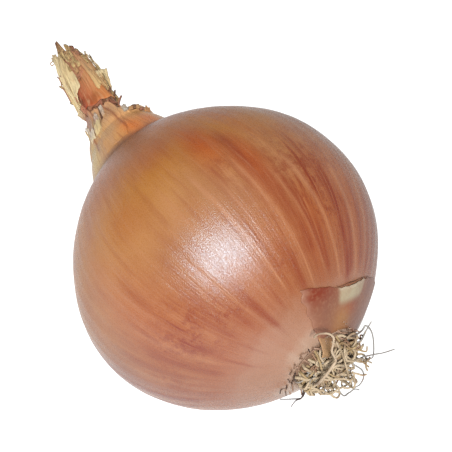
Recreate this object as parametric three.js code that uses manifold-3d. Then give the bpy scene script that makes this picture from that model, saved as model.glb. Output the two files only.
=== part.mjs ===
// A yellow onion lying on its side: the bulb with its torn collar, the dry neck, the root tuft and a
// scrap of outer skin. Millimetres, +Z up, the neck towards -X and the roots towards +X.
// Each piece is shaped about its growth axis, with heights from the widest section towards the neck
// and angles from the upper side towards +Y, and the whole group is then laid down.

import * as THREE from "three";
import { mergeVertices } from "three/addons/utils/BufferGeometryUtils.js";
import Module from "manifold-3d";

const wasm = await Module();
wasm.setup();

// Bulb
const BULB_RADIUS = 40;
const REST_CUT = 0.6;
const BULB_OUTLINE = [
  [9.6, -38.2],
  [18.6, -34],
  [27, -28],
  [34.3, -20],
  [38.9, -10],
  [BULB_RADIUS, 0],
  [38.3, 10],
  [33.1, 20],
  [26.2, 28],
  [19.6, 33.4],
  [16.7, 34.9],
  [15.4, 36.6],
  [12.9, 42.4],
  [11.2, 45],
  [9.6, 48.5],
];
const BULB_COLUMNS = 64;
const BULB_RINGS = 26;
const PLATE_HOLLOW = { radius: 8.4, height: -37, depth: 0.5 };
const VEIN_COUNT = 16;
const VEIN_RELIEF = 0.2;

// The neck leans to one side above the shoulder
const LEAN_ANGLE = 67.5;
const LEAN_START = 33;
const LEAN_SLOPE = 0.135;
const LEAN_SOFTNESS = 8;

// Torn collar round the foot of the dry neck
const COLLAR_RIM = [
  [-135, 57.2],
  [-112, 58.2],
  [-60, 58.6],
  [-22, 57.2],
  [20, 56.6],
  [45, 50.6],
  [67, 52.5],
  [90, 51.2],
  [130, 55.5],
  [180, 57.2],
];
const COLLAR_WALL = 0.8;
const COLLAR_TOP_RADIUS = 6.3;
const COLLAR_SPLAY = { angle: 67, width: 48, reach: 1.9 };
const COLLAR_TEAR = 0.8;
const CUP_FLOOR = 46.8;
const CUP_RADIUS = 5.6;

// Dry neck
const STALK_FOOT = 47.4;
const STALK_TOP = 80;
const STALK_SECTIONS = [
  [4.2, STALK_FOOT],
  [4.6, 57],
  [4.7, 60],
  [5, 63.5],
  [5.1, 68],
  [4.7, 73],
  [4.2, 77],
  [3.3, STALK_TOP],
];
const STALK_FLATNESS = 0.8;
const STALK_COLUMNS = 18;
const STALK_LOBES = 5;
const STALK_LOBE_DEPTH = 0.35;
const STRIP_THICKNESS = 0.7;
const STRIP_TUCK = 0.55;
const STRIP_LIFT = 0.6;

// Root tuft
const PLATE_RADIUS = 7.8;
const PLATE_HEIGHT = -37.4;
const PLATE_THICKNESS = 1.3;
const ROOT_COUNT = 40;
const ROOT_RADIUS = 0.42;
const ROOT_STEPS = 7;
const ROOT_REACH = [7, 11.5];
const ROOT_SINK = 1.1;
const TUFT_NEAR = -40.6;
const TUFT_FAR = -47;

// Scrap of outer skin
const SCRAP_THICKNESS = 0.65;
const FIT_GAP = 0.35;

const radians = THREE.MathUtils.degToRad;
const lerp = THREE.MathUtils.lerp;
const smoothstep = THREE.MathUtils.smoothstep;

// The same random numbers from 0 to 1 every time
function seeded(seed) {
  let state = seed;
  return () => {
    state = (state + 0x6d2b79f5) | 0;
    let mixed = Math.imul(state ^ (state >>> 15), 1 | state);
    mixed = (mixed + Math.imul(mixed ^ (mixed >>> 7), 61 | mixed)) ^ mixed;
    return ((mixed ^ (mixed >>> 14)) >>> 0) / 4294967296;
  };
}

// How far the growth axis has leaned aside at a height
function lean(height) {
  const above = height - LEAN_START;
  return (LEAN_SLOPE * (Math.hypot(above, LEAN_SOFTNESS) + above)) / 2;
}

function aboutAxis(radius, angle, height) {
  const aside = lean(height);
  return new THREE.Vector3(
    aside * Math.cos(radians(LEAN_ANGLE)) + radius * Math.cos(radians(angle)),
    aside * Math.sin(radians(LEAN_ANGLE)) + radius * Math.sin(radians(angle)),
    height,
  );
}

// Shortest way round from one angle to another, in degrees
function turnBetween(from, to) {
  return THREE.MathUtils.euclideanModulo(to - from + 180, 360) - 180;
}

// A value read between [angle, value] pairs that go once round
function roundTheAxis(pairs, angle) {
  const last = pairs.length - 1;
  const index = pairs.findIndex(([start], i) => {
    const end = pairs[i === last ? 0 : i + 1][0];
    const span = THREE.MathUtils.euclideanModulo(end - start, 360);
    return THREE.MathUtils.euclideanModulo(angle - start, 360) < span;
  });
  const [start, low] = pairs[index];
  const [end, high] = pairs[index === last ? 0 : index + 1];
  const span = THREE.MathUtils.euclideanModulo(end - start, 360);
  return lerp(low, high, THREE.MathUtils.euclideanModulo(angle - start, 360) / span);
}

// A value read between [value, height] pairs
function atHeight(pairs, height) {
  const index = Math.max(1, pairs.findIndex((pair) => pair[1] >= height));
  const [low, from] = pairs[index - 1];
  const [high, to] = pairs[index];
  return lerp(low, high, THREE.MathUtils.clamp((height - from) / (to - from), 0, 1));
}

function geometryOf(points, triangles) {
  const geometry = new THREE.BufferGeometry();
  const positions = points.flatMap((point) => [point.x, point.y, point.z]);
  geometry.setAttribute("position", new THREE.Float32BufferAttribute(positions, 3));
  geometry.setIndex(triangles);
  return geometry;
}

// A closed body through rings of points that go round anticlockwise, each above the last
function ringBody(rings) {
  const columns = rings[0].length;
  const points = rings.flat();
  const triangles = [];
  for (let ring = 0; ring < rings.length - 1; ring++) {
    for (let column = 0; column < columns; column++) {
      const a = ring * columns + column;
      const b = ring * columns + ((column + 1) % columns);
      triangles.push(a, b, a + columns, b, b + columns, a + columns);
    }
  }
  const middleOf = (ring) =>
    ring.reduce((sum, point) => sum.add(point), new THREE.Vector3()).divideScalar(columns);
  const foot = points.push(middleOf(rings[0])) - 1;
  const head = points.push(middleOf(rings[rings.length - 1])) - 1;
  const top = (rings.length - 1) * columns;
  for (let column = 0; column < columns; column++) {
    const next = (column + 1) % columns;
    triangles.push(foot, next, column, head, top + column, top + next);
  }
  return geometryOf(points, triangles);
}

// A thin sheet of even thickness about the surface that place(across, along) gives
function sheetBody(place, columns, rows, thickness) {
  const front = [];
  const back = [];
  const step = 1e-3;
  for (let row = 0; row <= rows; row++) {
    for (let column = 0; column <= columns; column++) {
      const across = column / columns;
      const along = row / rows;
      const point = place(across, along);
      const sideways = place(across + step, along).sub(place(across - step, along));
      const onward = place(across, along + step).sub(place(across, along - step));
      const half = sideways.cross(onward).normalize().multiplyScalar(thickness / 2);
      front.push(point.clone().add(half));
      back.push(point.clone().sub(half));
    }
  }
  const behind = front.length;
  const stride = columns + 1;
  const triangles = [];
  for (let row = 0; row < rows; row++) {
    for (let column = 0; column < columns; column++) {
      const a = row * stride + column;
      const b = a + 1;
      const c = a + stride;
      const d = c + 1;
      triangles.push(a, b, c, b, d, c);
      triangles.push(behind + a, behind + c, behind + b, behind + b, behind + c, behind + d);
    }
  }
  const rim = [];
  for (let column = 0; column < columns; column++) rim.push(column);
  for (let row = 0; row < rows; row++) rim.push(row * stride + columns);
  for (let column = columns; column > 0; column--) rim.push(rows * stride + column);
  for (let row = rows; row > 0; row--) rim.push(row * stride);
  rim.forEach((here, i) => {
    const next = rim[(i + 1) % rim.length];
    triangles.push(here, behind + here, behind + next, here, behind + next, next);
  });
  return geometryOf([...front, ...back], triangles);
}

function solidOf(geometry) {
  const bare = geometry.clone();
  bare.deleteAttribute("normal");
  bare.deleteAttribute("uv");
  const merged = mergeVertices(bare, 1e-4);
  return new wasm.Manifold(
    new wasm.Mesh({
      numProp: 3,
      vertProperties: merged.attributes.position.array,
      triVerts: new Uint32Array(merged.index.array),
    }),
  );
}

function geometryFrom(solid) {
  const mesh = solid.getMesh();
  const geometry = new THREE.BufferGeometry();
  geometry.setAttribute("position", new THREE.BufferAttribute(mesh.vertProperties, 3));
  geometry.setIndex(new THREE.BufferAttribute(mesh.triVerts, 1));
  return geometry;
}

// Joins geometries into one body, and drops any scrap that touches none of the rest
function fused(geometries) {
  const joined = geometries.map(solidOf).reduce((sum, solid) => sum.add(solid));
  const bodies = joined.decompose();
  return bodies.reduce((best, body) => (body.volume() > best.volume() ? body : best));
}

// The bulb's surface without its veins, from the root plate to the foot of the collar
const bulbCurve = new THREE.SplineCurve(
  BULB_OUTLINE.map(([radius, height]) => new THREE.Vector2(radius, height)),
);

function veinRelief(angle, height) {
  const fade = smoothstep(height, -36, -26) * (1 - smoothstep(height, 26, 40));
  const wander = 0.5 * Math.sin(radians(3 * angle + 40));
  return VEIN_RELIEF * fade * Math.cos(radians(VEIN_COUNT * angle) + wander);
}

function collarRadius(angle, height) {
  const [footRadius, footHeight] = BULB_OUTLINE[BULB_OUTLINE.length - 1];
  const rise = smoothstep(height, footHeight, footHeight + 8);
  const closeness = turnBetween(angle, COLLAR_SPLAY.angle) / COLLAR_SPLAY.width;
  const splay = COLLAR_SPLAY.reach * Math.exp(-closeness * closeness) * Math.sqrt(rise);
  return lerp(footRadius, COLLAR_TOP_RADIUS, rise) + splay;
}

function makeBulb() {
  const random = seeded(11);
  const angles = Array.from({ length: BULB_COLUMNS }, (_, i) => (360 * i) / BULB_COLUMNS);
  const ringAt = (radiusAt, heightAt) =>
    angles.map((angle, i) => aboutAxis(radiusAt(angle, i), angle, heightAt(angle, i)));

  const { radius, height, depth } = PLATE_HOLLOW;
  const rings = [
    ringAt(() => radius / 2, () => height + depth),
    ringAt(() => radius, () => height),
  ];
  for (const point of bulbCurve.getSpacedPoints(BULB_RINGS)) {
    rings.push(ringAt((angle) => point.x + veinRelief(angle, point.y), () => point.y));
  }

  const tears = angles.map((angle, i) => COLLAR_TEAR * (i % 2 ? random() : -random()));
  const rims = angles.map((angle, i) => roundTheAxis(COLLAR_RIM, angle) + tears[i]);
  const footHeight = BULB_OUTLINE[BULB_OUTLINE.length - 1][1];
  const collarRing = (share, wall) => {
    const heights = rims.map((rim) => lerp(footHeight, rim, share));
    return ringAt((angle, i) => collarRadius(angle, heights[i]) - wall, (_, i) => heights[i]);
  };
  rings.push(collarRing(0.35, 0), collarRing(0.7, 0), collarRing(1, 0));
  rings.push(collarRing(1, COLLAR_WALL), collarRing(0.6, COLLAR_WALL));
  rings.push(ringAt(() => CUP_RADIUS, () => CUP_FLOOR + 1));
  rings.push(ringAt(() => CUP_RADIUS - 0.6, () => CUP_FLOOR));

  const flat = new THREE.BoxGeometry(10, 60, 60);
  flat.translate(-(BULB_RADIUS - REST_CUT) - 5, 0, 0);
  return fused([ringBody(rings), ...collarTatters()]).subtract(solidOf(flat));
}

// Torn flaps of skin that stand out from the collar's open side and from its front
function collarTatters() {
  const flaps = [
    { from: 78, to: 104, foot: 46.5, tip: 53.2, out: 1.7, seed: 3 },
    { from: 44, to: 66, foot: 47.2, tip: 52.6, out: 1.3, seed: 5 },
    { from: -66, to: -44, foot: 49.5, tip: 55.4, out: 1.2, seed: 8 },
    { from: -118, to: -92, foot: 50.5, tip: 56.2, out: 0.9, seed: 9 },
    { from: 150, to: 176, foot: 49, tip: 56, out: 1.3, seed: 14 },
  ];
  return flaps.map(({ from, to, foot, tip, out, seed }) => {
    const random = seeded(seed);
    const columns = 5;
    const tears = Array.from({ length: columns + 1 }, () => 1.6 * random());
    const place = (across, along) => {
      const angle = lerp(from, to, across);
      const column = THREE.MathUtils.clamp(Math.round(across * columns), 0, columns);
      const height = lerp(foot, tip - tears[column], along);
      return aboutAxis(collarRadius(angle, height) - 0.7 + out * along * 1.4, angle, height);
    };
    return sheetBody(place, columns, 4, STRIP_THICKNESS);
  });
}

// A point on the dry stalk, a given lift above it: flatter across than along the lean
function stalkPoint(angle, height, lift) {
  const half = atHeight(STALK_SECTIONS, height);
  const lobes = 1 + (STALK_LOBE_DEPTH / half) * Math.cos(radians(STALK_LOBES * angle + 4 * height));
  const turn = radians(turnBetween(LEAN_ANGLE, angle));
  const section = new THREE.Vector2(Math.cos(turn), STALK_FLATNESS * Math.sin(turn));
  const radius = section.length() * half * lobes + lift;
  return aboutAxis(radius, angle, height);
}

function makeDryNeck() {
  const random = seeded(23);
  const angles = Array.from({ length: STALK_COLUMNS }, (_, i) => (360 * i) / STALK_COLUMNS);
  const rings = STALK_SECTIONS.map(([, height], i) => {
    const last = i === STALK_SECTIONS.length - 1;
    return angles.map((angle) => stalkPoint(angle, height + (last ? 2.4 * random() : 0), 0));
  });

  // Papery layers wrapped round the stalk, one long edge tucked in and the other standing proud
  const layers = [
    { from: -178, to: -112, foot: 60.8, tip: 82, flare: 0.3, twist: 8, ragged: 2.4, tuck: 1 },
    { from: -126, to: -78, foot: 61, tip: 84.6, flare: 0.2, twist: 12, ragged: 1.8, tuck: -1 },
    { from: -92, to: -36, foot: 61.6, tip: 83, flare: 0.3, twist: 12, ragged: 2.4, tuck: 1 },
    { from: -44, to: 26, foot: 60.6, tip: 80.6, flare: 1.1, twist: -8, ragged: 2, tuck: -1 },
    { from: 10, to: 76, foot: 60.4, tip: 82.2, flare: 0.9, twist: -10, ragged: 2, tuck: 1 },
    { from: 64, to: 124, foot: 60.2, tip: 81.5, flare: 0.7, twist: -6, ragged: 2.4, tuck: -1 },
    { from: 114, to: 190, foot: 60.6, tip: 82, flare: 0.5, twist: 6, ragged: 2.6, tuck: 1 },
    { from: 16, to: 72, foot: 62, tip: 69.4, flare: 0, twist: 0, ragged: 0.8, tuck: 1, peel: 2.1 },
  ];
  const sheets = layers.map(({ from, to, foot, tip, flare, twist, ragged, tuck, peel = 0 }) => {
    const columns = 5;
    const tears = Array.from({ length: columns + 1 }, () => ragged * random());
    const feet = Array.from({ length: columns + 1 }, () => random());
    const place = (across, along) => {
      const column = THREE.MathUtils.clamp(Math.round(across * columns), 0, columns);
      const height = lerp(foot + feet[column], tip - tears[column], along);
      const proud = tuck > 0 ? across : 1 - across;
      const lift = lerp(-STRIP_TUCK, STRIP_LIFT, proud) + flare * (1 - smoothstep(along, 0, 0.3));
      const peeled = peel * across * across * along;
      return stalkPoint(lerp(from, to, across) + twist * along, height, lift + peeled);
    };
    return sheetBody(place, columns, 6, STRIP_THICKNESS);
  });

  // Torn points that stand away: the barb on the lower side and the tips
  const points = [
    { angle: -112, foot: 70.2, tip: 75.2, spread: 30, end: 7, out: 1.9, shift: 0 },
    { angle: -118, foot: 76, tip: 84.4, spread: 44, end: 12, out: 0.2, shift: 0 },
    { angle: -24, foot: 75, tip: 85.6, spread: 54, end: 12, out: 0.2, shift: 12 },
    { angle: 44, foot: 75, tip: 83.4, spread: 40, end: 12, out: 0.1, shift: 4 },
    { angle: 104, foot: 74, tip: 83.6, spread: 40, end: 9, out: 0.4, shift: -6 },
    { angle: 166, foot: 75, tip: 85, spread: 44, end: 8, out: 0.3, shift: -8 },
  ];
  const barbs = points.map(({ angle, foot, tip, spread, end, out, shift }) => {
    const place = (across, along) => {
      const half = lerp(spread, end, along) / 2;
      const turned = angle + shift * along + lerp(-half, half, across);
      return stalkPoint(turned, lerp(foot, tip, along), -0.7 + (out + 0.8) * along * along);
    };
    return sheetBody(place, 3, 5, STRIP_THICKNESS);
  });
  return fused([ringBody(rings), ...sheets, ...barbs]);
}

// A root through the given points, four-sided and thinner to its tip
function rootBody(points, radius) {
  const path = new THREE.CatmullRomCurve3(points);
  const samples = path.getSpacedPoints(ROOT_STEPS);
  const across = new THREE.Vector3(0.36, 0.48, 0.8);
  const rings = samples.map((point, i) => {
    const share = i / ROOT_STEPS;
    const tangent = path.getTangentAt(share);
    across.addScaledVector(tangent, -across.dot(tangent)).normalize();
    const beside = new THREE.Vector3().crossVectors(tangent, across);
    const thickness = radius * lerp(1, 0.7, share);
    return [0, 1, 2, 3].map((corner) => {
      const turn = (corner * Math.PI) / 2;
      return point
        .clone()
        .addScaledVector(across, thickness * Math.cos(turn))
        .addScaledVector(beside, thickness * Math.sin(turn));
    });
  });
  return ringBody(rings);
}

function makeRootTuft() {
  const random = seeded(41);
  const spread = (low, high) => lerp(low, high, random());
  const columns = 20;
  const plateRing = (radius, height) =>
    Array.from({ length: columns }, (_, i) => aboutAxis(radius, (360 * i) / columns, height));
  const plate = ringBody([
    plateRing(PLATE_RADIUS * 0.6, PLATE_HEIGHT - PLATE_THICKNESS),
    plateRing(PLATE_RADIUS * 0.93, PLATE_HEIGHT - PLATE_THICKNESS * 0.6),
    plateRing(PLATE_RADIUS, PLATE_HEIGHT),
    plateRing(PLATE_RADIUS * 0.9, PLATE_HEIGHT + 0.2),
  ]);

  // Roots spread over the plate by the golden angle, turn outwards and curl
  const roots = [];
  for (let i = 0; i < ROOT_COUNT; i++) {
    const angle = 137.5 * i;
    const radius = PLATE_RADIUS * 0.86 * Math.sqrt((i + 0.5) / ROOT_COUNT);
    const start = aboutAxis(radius, angle, PLATE_HEIGHT - PLATE_THICKNESS * 0.8 + ROOT_SINK);
    const heading = new THREE.Vector3(
      Math.cos(radians(angle)) * spread(0.2, 0.9) * (radius / PLATE_RADIUS),
      Math.sin(radians(angle)) * spread(0.2, 0.9) * (radius / PLATE_RADIUS) + 0.2,
      -1,
    ).normalize();
    const anyWay = () => new THREE.Vector3(spread(-1, 1), spread(-1, 1), spread(-1, 1));
    const bend = anyWay().normalize();
    const reach = spread(...ROOT_REACH);
    const points = [start, start.clone().addScaledVector(heading, ROOT_SINK + 1.2)];
    const joints = 6;
    for (let joint = 0; joint < joints; joint++) {
      const tip = points[points.length - 1];
      heading.applyAxisAngle(bend, spread(0.2, 0.9));
      bend.addScaledVector(anyWay(), 0.5).normalize();
      if (tip.z > TUFT_NEAR) heading.z = -Math.abs(heading.z) - 0.2;
      if (tip.z < TUFT_FAR) heading.z = Math.abs(heading.z);
      heading.normalize();
      points.push(tip.clone().addScaledVector(heading, reach / joints));
    }
    roots.push(rootBody(points, ROOT_RADIUS * spread(0.85, 1.1)));
  }

  // The long loose roots, each from its seat in the plate to its tip
  const looseRoots = [
    [[-4, -3.4, -38.6], [-4.7, -3.9, -43], [0.9, -2.9, -45.6], [5.7, -0.4, -46], [9.5, 1.4, -43.6],
      [12.6, 1.6, -42.2], [15.4, 0.6, -41.4], [15.4, -1.2, -40.6], [12.8, -2.2, -39]],
    [[-1, 5, -38.6], [0.5, 8.6, -41], [3.2, 10.8, -41.4], [6.7, 12, -41.3], [8.9, 12.8, -41]],
    [[0, 6, -38.6], [-2.9, 10.6, -43.4], [-0.3, 13.1, -43], [4.5, 12.9, -42.5], [8.4, 11.2, -41.8]],
    [[-3, 5, -38.6], [-3.9, 8.6, -43], [-3.4, 11.3, -44], [-5.7, 15.6, -44], [-9.4, 19.9, -44]],
    [[-6, 3, -38.6], [-8.4, 7.4, -43.6], [-10.3, 12.3, -45], [-14.4, 13.4, -46], [-16.8, 11.4, -47]],
    [[-5, 0, -38.6], [-7.6, 0.9, -45], [-12.6, 3.4, -48], [-16.4, 6.4, -49], [-17.4, 9.6, -49.4]],
    [[-4, -5, -38.6], [-6.5, -6.4, -41], [-7.4, -8.6, -41.6], [-9.5, -10.8, -41.4]],
  ];
  for (const route of looseRoots) {
    roots.push(rootBody(route.map(([x, y, z]) => new THREE.Vector3(x, y, z)), ROOT_RADIUS * 0.85));
  }
  return fused([plate, ...roots]);
}

// Distance of the bulb's surface from its axis, read off the outline's curve
const bulbSamples = bulbCurve.getPoints(240).map((point) => [point.x, point.y]);

function makeTornSkin() {
  const random = seeded(57);
  const columns = 14;
  const rows = 7;
  const tears = Array.from({ length: columns + 1 }, () => 0.7 * random());
  const place = (across, along) => {
    const angle = lerp(-3, 84, across);
    const column = THREE.MathUtils.clamp(Math.round(across * columns), 0, columns);
    const top = lerp(-32.4, -30.6, across) + tears[column];
    const height = lerp(-36.9, top, along);
    const lip = Math.exp(-(((across - 0.46) / 0.2) ** 2)) * smoothstep(along, 0.45, 1);
    const clear = FIT_GAP + SCRAP_THICKNESS / 2 + VEIN_RELIEF * smoothstep(height, -36, -26);
    const radius = atHeight(bulbSamples, height);
    const slope = atHeight(bulbSamples, height + 0.5) - atHeight(bulbSamples, height - 0.5);
    const outward = new THREE.Vector2(1, -slope).normalize().multiplyScalar(clear + 1.1 * lip);
    return aboutAxis(radius + outward.x, angle, height + outward.y);
  };
  return solidOf(sheetBody(place, columns, rows, SCRAP_THICKNESS));
}

function piece(name, solid, color, roughness) {
  const material = new THREE.MeshStandardMaterial({ color, roughness, metalness: 0 });
  const mesh = new THREE.Mesh(geometryFrom(solid), material);
  mesh.name = name;
  return mesh;
}

const grown = new THREE.Group();
grown.add(piece("bulb", makeBulb(), 0xb8713c, 0.4));
grown.add(piece("dry_neck", makeDryNeck(), 0xc98a4e, 0.75));
grown.add(piece("root_tuft", makeRootTuft(), 0xd2b488, 0.8));
grown.add(piece("torn_skin", makeTornSkin(), 0x9c5f38, 0.5));

// Laid on its side, with the growth axis level and the flat spot at the origin
grown.rotation.y = -Math.PI / 2;
grown.position.z = BULB_RADIUS - REST_CUT;

const onion = new THREE.Group();
onion.add(grown);

export default onion;
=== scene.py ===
import math
import random

import bpy
import numpy as np
from mathutils import Matrix, Vector, noise


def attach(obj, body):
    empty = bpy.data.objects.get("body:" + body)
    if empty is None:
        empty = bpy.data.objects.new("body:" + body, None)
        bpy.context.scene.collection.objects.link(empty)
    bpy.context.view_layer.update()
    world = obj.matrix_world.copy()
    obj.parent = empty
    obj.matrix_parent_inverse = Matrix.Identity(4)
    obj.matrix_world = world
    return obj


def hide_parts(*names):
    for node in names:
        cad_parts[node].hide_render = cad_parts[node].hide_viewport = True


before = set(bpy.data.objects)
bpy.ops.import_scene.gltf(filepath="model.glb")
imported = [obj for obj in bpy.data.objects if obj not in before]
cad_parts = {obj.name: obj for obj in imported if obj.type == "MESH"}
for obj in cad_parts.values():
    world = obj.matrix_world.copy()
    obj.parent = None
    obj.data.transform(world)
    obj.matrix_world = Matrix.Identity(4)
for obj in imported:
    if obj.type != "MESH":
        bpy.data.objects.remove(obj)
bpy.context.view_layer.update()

# The growth frame: heights along the bulb's axis from its widest section towards the neck, and
# angles round it from the upper side towards +Y. Its sizes are in millimetres, and
# grown() turns them into metres in the shared frame.
MM = 0.001
AXIS_ABOVE_FLOOR = 39.4

# Bulb outline as (radius, height), from the root plate's rim to the foot of the torn collar
BULB_OUTLINE = [
    (9.6, -38.2), (18.6, -34), (27, -28), (34.3, -20), (38.9, -10), (40, 0), (38.3, 10),
    (33.1, 20), (26.2, 28), (19.6, 33.4), (16.7, 34.9), (15.4, 36.6), (12.9, 42.4), (10.8, 46),
]
NECK_RADIUS = BULB_OUTLINE[-1][0]
BULB_COLUMNS = 96
RINGS_PER_STRETCH = 3
COLLAR_RINGS = 5
ROOT_HOLLOW = [(0.5, -36.3), (5, -36.4), (7.6, -36.9), (8.6, -37.9)]

# The neck leans off the axis: towards this angle, from this height, so steeply, so gently at first
LEAN_ANGLE = 67.5
LEAN_START = 33
LEAN_SLOPE = 0.135
LEAN_SOFTNESS = 8

# The collar narrows upwards round the stalk's foot. It is made with a straight rim, which is then
# torn to the heights in COLLAR_RIM, by angle.
COLLAR_FOOT = 46
COLLAR_MODEL_RIM = 58
COLLAR_RIM = [
    (-135, 57.2), (-112, 58.2), (-60, 58), (-34, 57.2), (-14, 54.6), (-4, 52.6), (5, 50.8),
    (12, 48.4), (20, 47.2), (34, 47.2), (48, 49), (67, 51), (90, 51), (130, 55.5), (180, 57.2),
]
COLLAR_TOP_RADIUS = 6.3
COLLAR_NARROWING = 10.5
COLLAR_WALL = 0.5
COLLAR_SPLAY = {"angle": 67, "width": 48, "reach": 1.9}
CUP_FLOOR = 44.6
CUP_RADIUS = 5.4

# Half widths of the dry stalk, as (half width, height)
STALK_SECTIONS = [
    (4.2, 47.4), (4.6, 57), (4.7, 60), (5, 63.5), (5.1, 68), (4.7, 73), (4.2, 77), (3.3, 80),
]
STALK_FLATNESS = 0.8
STALK_LOBES = 5
STALK_LOBE_DEPTH = 0.35

PLATE_RADIUS = 8.6
PLATE_FACE = -38.6
PLATE_BULGE = 0.75
# The skin round the plate, as (height, distance from the axis)
RIM_SLOPE = [(-37.9, 7.6), (-38.1, 9.6), (-36.9, 12), (-35.6, 15)]

# Dark streaks in the skin: angle at the top and at the bottom, half width in degrees, height of
# the top and of the bottom, strength
RUST_STREAKS = [
    (3, 5, 6, 18, -12, 0.3),
    (5, 10, 5, 9, -27, 0.72),
    (12, 15, 2.2, -8, -29, 0.8),
    (17, 17, 3, -20, -31, 0.75),
    (20, 18, 2.4, 6, -4, 0.3),
    (26, 28, 3, 3, -12, 0.75),
    (29, 33.5, 3.8, -10, -33, 1),
    (38, 36, 2.8, -16, -32, 0.8),
    (45, 46, 3, -14, -31, 0.75),
    (55, 54, 4, -15, -32, 0.55),
    (-2, -1.5, 3.4, -22.5, -31.5, 0.8),
    (-9, -6, 2, 4, -16, 0.3),
    (-17.5, -17.5, 1.6, -26, -31.5, 0.5),
    (-28, -28, 2.3, -24, -33.6, 1),
    (-37.5, -37, 4, -23.5, -30, 0.6),
    (-38, -38, 1.3, -8, -17, 0.35),
    (-46, -47, 4, -18, -29.5, 0.65),
    (-48.5, -48.5, 1.3, -26, -34, 0.6),
    (-54, -55, 2.3, -3, -14, 0.45),
    (-56, -57, 4, -16, -28.5, 0.5),
    (-61, -61.5, 1, -28, -34.4, 0.7),
    (-71, -72, 5, -14, -30, 0.6),
    (-80, -80, 4.5, -10, -25, 0.5),
    (-93, -94, 5, -6, -30, 0.4),
    (-14, -27, 3, 58, 49.8, 1),
    (-26, -48, 4, 53.5, 48, 1),
    (-47, -44, 3, 51, 41, 0.8),
    (7, -2, 2.4, 56, 40, 0.8),
]

# Pale veins, in the same way
PALE_VEINS = [
    (-23.5, -23.5, 0.9, 5, -9, 0.5),
    (-13, -11, 0.8, 2, -29, 0.9),
    (-6.5, -6, 0.7, -6, -26, 0.6),
    (1.8, 5, 0.9, -2, -31, 0.8),
    (10.4, 14.5, 0.8, -7, -30, 0.55),
    (15, 17, 1.6, 6, -8, 0.4),
    (18.5, 25, 1.3, -6, -32, 0.85),
    (36, 41.5, 1.7, -10, -32, 0.75),
    (50, 52, 1.2, -12, -31, 0.4),
    (-21, -20.5, 0.8, -18, -29, 0.35),
    (-31.5, -32, 0.9, -16, -28, 0.5),
    (-41, -41.5, 0.8, -8, -27, 0.35),
    (-44, -43, 0.7, -12, -22, 0.3),
    (-51, -51, 1, -15, -28, 0.35),
    (-65, -65, 2.2, -16, -29, 0.45),
    (-86, -87, 1.6, -12, -28, 0.3),
]

# Below this height the skin is pale, up to a ragged edge
PALE_EDGE = -31.6

# Soft patches of colour: angle, height, half width in degrees, half height, strength
ORANGE_PATCHES = [
    (-1, 8, 7, 10, 0.95),
    (7, -3, 6, 11, 0.8),
    (-40, 8, 14, 10, 0.3),
    (-20, 14, 16, 7, 0.35),
    (24, -20, 14, 10, 0.3),
    (-14, 15, 14, 8, 0.4),
    (-42, 20, 16, 9, 0.3),
    (-60, -8, 15, 19, 0.45),
    (-58, 12, 12, 8, 0.25),
    (34, -16, 20, 16, 0.35),
    (16, 12, 8, 10, 0.4),
    (4, 40, 13, 5, 1),
    (24, 40, 14, 4, 0.9),
]
RUSTY_ZONES = [
    (24, -14, 24, 17, 0.8),
    (-2, 0, 8, 10, 0.4),
    (-58, -22, 24, 8, 0.85),
    (-38, -26, 10, 5, 0.9),
    (-3, -27, 8, 5, 0.8),
    (-84, -22, 16, 8, 0.5),
]
# The patches at 68 and -100 degrees lie on the bulb's outline. They are painted sheen, a greyish pink rim
# that stands in for reflection. The others are mauve skin.
MAUVE_AND_SHEEN_PATCHES = [
    (42, 6, 10, 12, 0.6),
    (52, 0, 14, 12, 0.7),
    (68, -18, 12, 16, 0.7),
    (-100, -8, 15, 24, 0.5),
    (4, 30, 24, 4, 0.35),
    (-44, 57, 30, 4.5, 1),
]
STRAW_PATCHES = [
    (-60, 43, 20, 7, 0.95),
    (-30, 50, 12, 5, 0.7),
    (-14, 54, 10, 4, 0.4),
    (-22, 45, 12, 5, 0.25),
    (-112, 50, 30, 8, 0.5),
]


def mix(low, high, share):
    return low + (high - low) * share


def smooth(value, start, end):
    share = max(0.0, min(1.0, (value - start) / (end - start)))
    return share * share * (3 - 2 * share)


def lean(height):
    """How far the neck's axis has moved aside."""
    above = height - LEAN_START
    return LEAN_SLOPE * (math.hypot(above, LEAN_SOFTNESS) + above) / 2


def grown(x, y, height):
    """A point of the growth frame, in the shared frame."""
    return Vector((-height, y, AXIS_ABOVE_FLOOR + x)) * MM


def about_axis(radius, angle, height):
    """A point so far from the leaning axis."""
    aside = lean(height)
    lean_turn = math.radians(LEAN_ANGLE)
    turn = math.radians(angle)
    return grown(
        aside * math.cos(lean_turn) + radius * math.cos(turn),
        aside * math.sin(lean_turn) + radius * math.sin(turn),
        height,
    )


def turn_between(start, end):
    return (end - start + 180) % 360 - 180


def round_the_axis(pairs, angle):
    """A value read between (angle, value) pairs that go once round."""
    for (start, low), (end, high) in zip(pairs, pairs[1:] + pairs[:1]):
        span = (end - start) % 360
        past = (angle - start) % 360
        if past < span:
            return mix(low, high, past / span)
    return pairs[0][1]


def read_off(pairs, place):
    """A value read between (value, place) pairs, with their places in rising order."""
    values, places = zip(*pairs)
    return float(np.interp(place, places, values))


def smooth_curve(points, steps):
    """Points along a smooth curve through all of these, so many steps from one to the next."""
    made = []
    ends = [points[0], *points, points[-1]]
    for before, start, end, after in zip(ends, ends[1:], ends[2:], ends[3:]):
        for step in range(steps):
            t = step / steps
            made.append(
                start + t * (end - before) / 2
                + t * t * (3 * (end - start) - (end - before) - (after - start) / 2)
                + t ** 3 * (2 * (start - end) + (end - before) / 2 + (after - start) / 2)
            )
    made.append(points[-1])
    return made


def bulb_curve(steps):
    """The bulb's smooth outline as (radius, height), with so many steps between its points."""
    return smooth_curve([np.array(point) for point in BULB_OUTLINE], steps)


BULB_RADII, BULB_HEIGHTS = zip(*bulb_curve(12))


def bulb_radius(height):
    """The radius of the smooth outline."""
    return float(np.interp(height, BULB_HEIGHTS, BULB_RADII))


def uneven(x, y, z):
    """Smooth unevenness from about -1 to 1, the same each time."""
    return noise.noise(Vector((x, y, z)))


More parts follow.
